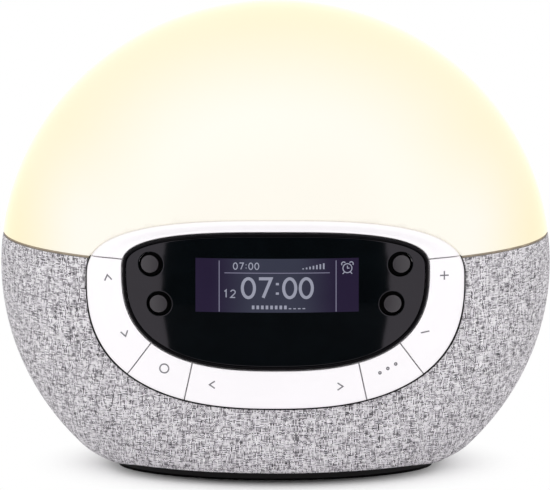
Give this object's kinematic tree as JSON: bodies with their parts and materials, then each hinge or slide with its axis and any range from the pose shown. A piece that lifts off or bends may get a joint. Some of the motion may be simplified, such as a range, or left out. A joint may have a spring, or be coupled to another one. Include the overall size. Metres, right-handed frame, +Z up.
{
  "type": "sunrise alarm clock",
  "caption": "Egg-shaped bedside light clock: opal dome over a woven base, black display window ringed by white rocker and push keys.",
  "frame": {"origin": "middle of the rubber foot's underside, on the surface that the clock stands on", "axes": "+X to the viewer's right, +Y to the back, +Z up; the display faces -Y"},
  "size_m": [0.21, 0.1289, 0.176],
  "materials": {
    "opal_plastic": "satin opal",
    "grey_rubber": "matt",
    "woven_cover": "grey melange weave",
    "white_plastic": "matt",
    "black_plastic": "fine grain",
    "black_rubber": "matt",
    "screw_steel": "plated",
    "white_board": "solder mask",
    "lamp_face": "phosphor",
    "red_lead": "satin",
    "key_plastic": "satin gloss",
    "rim_black": "gloss",
    "window_black": "high gloss",
    "display_glass": "tinted display glass",
    "backlight": "matt",
    "green_board": "solder mask",
    "ribbon": "satin",
    "switch_black": "matt",
    "rear_grey": "fine grain",
    "speaker_steel": "satin black",
    "magnet_grey": "ferrite",
    "cone_paper": "paper",
    "nut_metal": "nickel",
    "black_lead": "satin",
    "capacitor": "sleeved",
    "plunger_plastic": "matt",
    "button_grey": "satin"
  },
  "bodies": {
    "clock": {"diffuser_dome": "opal_plastic", "dome_gasket": "grey_rubber", "fabric_cover": "woven_cover", "lower_housing": "white_plastic", "base_plate": "black_plastic", "foot_pad": "black_rubber", "base_screws": "screw_steel", "light_tray": "white_plastic", "led_board": "white_board", "leds": "lamp_face", "tray_screws": "screw_steel", "led_lead": "red_lead", "panel_bezel": "key_plastic", "window_rim": "rim_black", "display_window": "window_black", "lcd_glass": "display_glass", "lcd_backlight": "backlight", "lcd_frame": "black_plastic", "panel_board": "green_board", "panel_board_screws": "screw_steel", "panel_ribbon": "ribbon", "tact_switches": "switch_black", "rocker_pins": "screw_steel", "rear_panel": "rear_grey", "rear_panel_screws": "screw_steel", "speaker_basket": "speaker_steel", "speaker_magnet": "magnet_grey", "speaker_cone": "cone_paper", "speaker_surround": "black_rubber", "speaker_gasket": "black_rubber", "speaker_screws": "screw_steel", "power_socket": "black_plastic", "power_socket_nut": "nut_metal", "rear_leads": "black_lead", "main_board": "green_board", "main_board_chips": "switch_black", "main_board_capacitors": "capacitor", "radio_shield": "nut_metal", "main_board_screws": "screw_steel"},
    "up_down_key": {"up_down_key": "key_plastic", "up_down_plungers": "plunger_plastic"},
    "select_key": {"select_key": "key_plastic", "select_plunger": "plunger_plastic"},
    "left_right_key": {"left_right_key": "key_plastic", "left_right_plungers": "plunger_plastic"},
    "preset_key": {"preset_key": "key_plastic", "preset_plunger": "plunger_plastic"},
    "plus_minus_key": {"plus_minus_key": "key_plastic", "plus_minus_plungers": "plunger_plastic"},
    "upper_left_button": {"upper_left_button": "button_grey", "upper_left_plunger": "plunger_plastic"},
    "lower_left_button": {"lower_left_button": "button_grey", "lower_left_plunger": "plunger_plastic"},
    "upper_right_button": {"upper_right_button": "button_grey", "upper_right_plunger": "plunger_plastic"},
    "lower_right_button": {"lower_right_button": "button_grey", "lower_right_plunger": "plunger_plastic"}
  },
  "joints": [
    {"name": "up_down_rock", "type": "hinge", "parent": "clock", "child": "up_down_key", "pos_m": [-0.0606, -0.03713, 0.06945], "axis": [0.9487, 0.0234, 0.3154], "range_deg": [-1.8, 1.8], "stiffness_Nm_per_rad": 0.9},
    {"name": "select_press", "type": "slide", "parent": "clock", "child": "select_key", "axis": [0, 0.9973, -0.074], "range_m": [0, 0.00035], "stiffness_N_per_m": 1800},
    {"name": "left_right_rock", "type": "hinge", "parent": "clock", "child": "left_right_key", "pos_m": [0, -0.04847, 0.04101], "axis": [0, 0.074, 0.9973], "range_deg": [-0.8, 0.8], "stiffness_Nm_per_rad": 2.4},
    {"name": "preset_press", "type": "slide", "parent": "clock", "child": "preset_key", "axis": [0, 0.9973, -0.074], "range_m": [0, 0.00035], "stiffness_N_per_m": 1800},
    {"name": "plus_minus_rock", "type": "hinge", "parent": "clock", "child": "plus_minus_key", "pos_m": [0.0606, -0.03713, 0.06945], "axis": [0.9487, -0.0234, -0.3154], "range_deg": [-1.8, 1.8], "stiffness_Nm_per_rad": 0.9},
    {"name": "upper_left_press", "type": "slide", "parent": "clock", "child": "upper_left_button", "axis": [0, 0.9973, -0.074], "range_m": [0, 0.00035], "stiffness_N_per_m": 1800},
    {"name": "lower_left_press", "type": "slide", "parent": "clock", "child": "lower_left_button", "axis": [0, 0.9973, -0.074], "range_m": [0, 0.00035], "stiffness_N_per_m": 1800},
    {"name": "upper_right_press", "type": "slide", "parent": "clock", "child": "upper_right_button", "axis": [0, 0.9973, -0.074], "range_m": [0, 0.00035], "stiffness_N_per_m": 1800},
    {"name": "lower_right_press", "type": "slide", "parent": "clock", "child": "lower_right_button", "axis": [0, 0.9973, -0.074], "range_m": [0, 0.00035], "stiffness_N_per_m": 1800}
  ]
}
